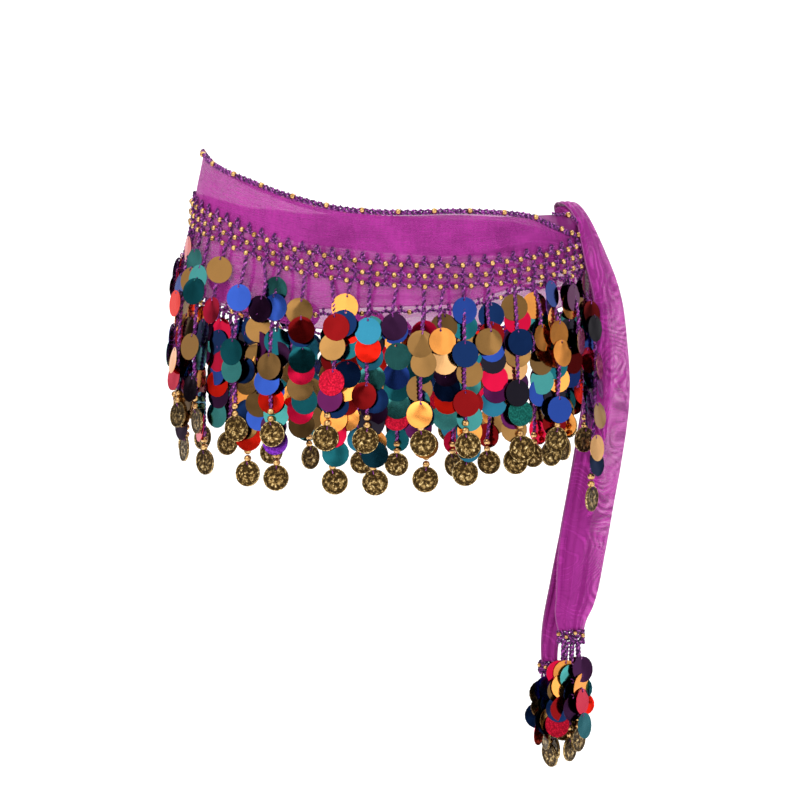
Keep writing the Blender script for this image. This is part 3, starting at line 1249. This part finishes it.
def tassel_head(which, centre, scale, finishes, rng):
    """The small net at a tail's end: wavy cords round a flat ellipse as wide as the tail's end,
    joined by leaning posts, with a few beads on them."""
    thread, _, gold, _ = finishes
    ply, posts = 0.00078, 11
    low = TASSEL_NET * scale
    turn = np.linspace(0, 2 * np.pi, 121)
    cords, beads = Parcel(), Parcel()

    def on_ellipse(angle, drop, out=0.0):
        x, y = (0.0112 * scale + out) * np.cos(angle), (0.0046 * scale + out) * np.sin(angle)
        return centre + np.stack(np.broadcast_arrays(x, y, -drop), -1)

    for drop, waves in ((0.0010, 7), (0.0055 * scale, 5), (low, 6)):
        line = on_ellipse(turn, drop + 0.0013 * np.sin(waves * turn + rng.uniform(0, 6)))
        away = unit(np.stack([np.cos(turn), 2.5 * np.sin(turn), 0 * turn], -1))
        add_cords(cords, line[None], away[None], ply, ply * 0.9, WAVY_LAY)
    t = np.linspace(0, 1, 9)[None]
    at = 2 * np.pi * (np.arange(posts) + rng.uniform(-0.25, 0.25, posts)) / posts
    lean = rng.uniform(-0.35, 0.35, posts)[:, None] * t
    lines = on_ellipse(at[:, None] + lean, 0.0004 + (low - 0.0004) * t)
    add_cords(cords, lines, unit(lines - centre + (0, 1e-6, 0)), ply, ply * 0.8, 0.0042)
    held = -0.5 * np.pi + np.array([-1.05, -0.35, 0.30, 1.00, 2.4, 3.3, 4.0])
    drop = np.array([0.0030, 0.0052, 0.0018, 0.0042, 0.0030, 0.0050, 0.0020]) * scale
    ahead = np.stack([-np.sin(held), np.cos(held), 0 * held], -1)
    add_beads(beads, on_ellipse(held, drop, 0.0011), ahead, 0.0021)
    dress(put_mesh(f"tassel_net_{which}", cords, thread), "crochet_cord", f"tassel_{which}")
    dress(put_mesh(f"tassel_net_beads_{which}", beads, gold), "fringe", f"tassel_{which}")


def make_tassels(settings):
    fringe = settings.fringe
    rng = np.random.default_rng(fringe.seed + 20)
    finishes = fringe_finishes("tassel_cord", "tassel_foil", "tassel_gilt", "tassel_brass")
    t = np.linspace(0, 1, 50)
    for which, table in TAILS.items():
        scale = TASSEL_SCALE[which]
        centre = np.array([table("x", 1.0), table("y", 1.0), table("z", 1.0) - SEAM_GAP])
        strands = []
        tassel_head(which, centre, scale, finishes, rng)
        for number, (across, splay, swing, fall) in enumerate(TASSEL_STRANDS):
            has_coin = number in (1, 3, 5)
            drop = fall * scale - (0.026 if has_coin else 0.012) - 0.004 * (number % 3)
            stray = rng.uniform(-0.0022, 0.0022, 2)
            x = -across * scale * 0.74 * (1 + (splay - 1) * 0.35 * t) + stray[0] * np.sin(2.6 * t)
            y = -swing * scale * np.sin(t * np.pi / 2) + stray[1] * np.sin(2.2 * t)
            z = -TASSEL_NET * scale - (drop - TASSEL_NET * scale) * t
            face = unit(np.array([-across * 60, -1.0 if swing >= 0 else 1.0, 0.0]))
            line = centre + np.stack([x, y, z], -1)
            strands.append((line, np.broadcast_to(face, line.shape), has_coin))
        name = f"tassel_{which}"
        dress_strands(name, name, strands, fringe, Hangings(rng), PLANS["tassel"], finishes, 0.00088)


def studio_light():
    """A studio's walls: mostly bright, with broad darker and brighter areas that the spangles
    mirror. Noise over the direction sets where they are, and a ramp sets their edges. Seen
    straight, past the edge of the floor, they are plain and pale."""
    world = bpy.data.worlds.new("studio")
    world.use_nodes = True
    walls = Tree(world.node_tree)
    areas = walls.noise(walls.node("ShaderNodeTexCoord")("Generated"), 2.6, 1.0, 0.5)
    stops = ((0.37, 0.04), (0.42, 0.30), (0.50, 0.62), (0.58, 0.78), (0.64, 1.15))
    shades = walls.ramp(areas, *((place, (level, level, level)) for place, level in stops))
    straight = walls.node("ShaderNodeLightPath")("Is Camera Ray")
    plain = walls.blend(straight, shades, (1.0, 1.0, 1.0))
    walls.plug(world.node_tree.nodes["Background"].inputs["Color"], plain)
    return world


def aim_at(thing, target):
    """Turn a camera or lamp so that it looks at a point, with its top up."""
    sight = Vector([float(c) for c in target]) - Vector(thing.location)
    thing.rotation_euler = sight.to_track_quat("-Z", "Y").to_euler()
    bpy.context.scene.collection.objects.link(thing)


def make_stage(settings):
    """A pale floor that curves up into a backdrop, soft lights, and the camera."""
    curve = np.linspace(0.1, np.pi / 2, 12)
    depth = np.concatenate([np.linspace(-4.0, 3.2, 12), 3.2 + 0.9 * np.sin(curve), np.full(6, 4.1)])
    rise = np.concatenate([np.zeros(12), 0.9 * (1 - np.cos(curve)), np.linspace(1.3, 4.6, 6)])
    x = np.linspace(-4.0, 4.0, 15)[:, None]
    grid = np.stack(np.broadcast_arrays(x, depth[None], rise[None] - 0.95), -1)
    pale = Finish("pale_stage", Roughness=0.9, Emission_Strength=0.42)
    grain = pale.noise(pale.place(), 3.0, 2.0)
    pale.set(Base_Color=pale.ramp(grain, (0.3, (0.86, 0.86, 0.86)), (0.7, (0.90, 0.90, 0.90))))
    pale.set(Emission_Color=(1.0, 1.0, 1.0))
    parcel = Parcel()
    parcel.add(grid, quads(15, 30))
    put_mesh("pale_floor", parcel, pale.material)
    scene = bpy.context.scene
    scene.world = studio_light()
    lamps = (  # (name, place, size, power, colour)
        ("key", (-1.3, -2.0, 1.4), 3.0, 50.0, (1.0, 0.98, 0.95)),
        ("fill", (1.9, -1.6, 0.4), 2.6, 18.0, (0.97, 0.98, 1.0)),
        ("top", (0.0, -0.2, 2.0), 2.6, 22.0, (1.0, 1.0, 1.0)),
        ("rear", (0.6, 1.4, 0.9), 1.4, 14.0, (1.0, 1.0, 1.0)),
    )
    for name, place, size, power, colour in lamps:
        lamp = bpy.data.lights.new(name, "AREA")
        lamp.size, lamp.energy, lamp.color = size, power, colour
        holder = bpy.data.objects.new(name, lamp)
        holder.location = place
        aim_at(holder, (0, 0, -0.12))
    lens = bpy.data.cameras.new("camera")
    lens.lens, lens.sensor_width, lens.clip_start = 134.5, 36.0, 0.05
    camera = bpy.data.objects.new("camera", lens)
    target, distance, tip = np.array([0.010, 0.0, -0.174]), 2.6, math.radians(4.0)
    camera.location = target + distance * np.array([0, -math.cos(tip), math.sin(tip)])
    aim_at(camera, target)
    scene.camera = camera
    scene.view_settings.view_transform = "Standard"
    scene.cycles.transparent_max_bounces = 32


class ScarfMaker:
    """What the operators share: each runs one maker with the scene's settings."""

    bl_options = {"REGISTER", "UNDO"}

    def execute(self, context):
        self.make(context.scene.hip_scarf)
        return {"FINISHED"}


class HIPSCARF_OT_stage(ScarfMaker, bpy.types.Operator):
    """Set up the pale floor, the soft lights and the camera"""

    bl_idname = "hip_scarf.stage"
    bl_label = "Stage"
    make = staticmethod(make_stage)


class HIPSCARF_OT_wrap(ScarfMaker, bpy.types.Operator):
    """Make the sheer cloth wrapped round the hips, with its rolled hem"""

    bl_idname = "hip_scarf.wrap"
    bl_label = "Wrapped cloth"
    make = staticmethod(make_wrap)


class HIPSCARF_OT_turn_in(ScarfMaker, bpy.types.Operator):
    """Make the top of the cloth that is turned in"""

    bl_idname = "hip_scarf.turn_in"
    bl_label = "Turned-in top"
    make = staticmethod(make_turn_in)


class HIPSCARF_OT_knot(ScarfMaker, bpy.types.Operator):
    """Make the tied knot"""

    bl_idname = "hip_scarf.knot"
    bl_label = "Knot"
    make = staticmethod(make_knot)


class HIPSCARF_OT_tails(ScarfMaker, bpy.types.Operator):
    """Make the two hanging tails"""

    bl_idname = "hip_scarf.tails"
    bl_label = "Tails"
    make = staticmethod(make_tails)


class HIPSCARF_OT_net(ScarfMaker, bpy.types.Operator):
    """Make the crocheted net with its beads"""

    bl_idname = "hip_scarf.net"
    bl_label = "Beaded net"
    make = staticmethod(make_net)


class HIPSCARF_OT_hem_crochet(ScarfMaker, bpy.types.Operator):
    """Make the crocheted cord under the hem"""

    bl_idname = "hip_scarf.hem_crochet"
    bl_label = "Hem crochet"
    make = staticmethod(make_hem_crochet)


class HIPSCARF_OT_edging(ScarfMaker, bpy.types.Operator):
    """Make the crocheted edging along the top"""

    bl_idname = "hip_scarf.edging"
    bl_label = "Top edging"
    make = staticmethod(make_edging)


class HIPSCARF_OT_fringe(ScarfMaker, bpy.types.Operator):
    """Make the two tiers of fringe with their spangles and coins"""

    bl_idname = "hip_scarf.fringe"
    bl_label = "Fringe"
    make = staticmethod(make_fringe)


class HIPSCARF_OT_tassels(ScarfMaker, bpy.types.Operator):
    """Make the tassel at the end of each tail"""

    bl_idname = "hip_scarf.tassels"
    bl_label = "Tassels"
    make = staticmethod(make_tassels)


MAKERS = (
    HIPSCARF_OT_stage,
    HIPSCARF_OT_wrap,
    HIPSCARF_OT_turn_in,
    HIPSCARF_OT_knot,
    HIPSCARF_OT_tails,
    HIPSCARF_OT_net,
    HIPSCARF_OT_hem_crochet,
    HIPSCARF_OT_edging,
    HIPSCARF_OT_fringe,
    HIPSCARF_OT_tassels,
)


class HIPSCARF_PT_panel(bpy.types.Panel):
    """The makers and their settings"""

    bl_idname = "HIPSCARF_PT_panel"
    bl_label = "Hip scarf"
    bl_space_type = "VIEW_3D"
    bl_region_type = "UI"
    bl_category = "Hip scarf"

    def draw(self, context):
        settings = context.scene.hip_scarf
        for group, names in (
            (settings.cloth, ("colour", "cover", "wall", "roll")),
            (settings.crochet, ("ply", "bead")),
            (settings.fringe, ("spangle", "coin", "bead", "seed")),
        ):
            box = self.layout.box()
            for name in names:
                box.prop(group, name)
        for maker in MAKERS:
            self.layout.operator(maker.bl_idname)


CLASSES = (ScarfCloth, ScarfCrochet, ScarfFringe, HipScarf, *MAKERS, HIPSCARF_PT_panel)


def register():
    for part in CLASSES:
        bpy.utils.register_class(part)
    bpy.types.Scene.hip_scarf = bpy.props.PointerProperty(type=HipScarf)


def unregister():
    del bpy.types.Scene.hip_scarf
    for part in reversed(CLASSES):
        bpy.utils.unregister_class(part)


def main():
    register()
    for maker in MAKERS:
        getattr(bpy.ops.hip_scarf, maker.bl_idname.split(".")[1])()


if __name__ == "__main__":
    main()
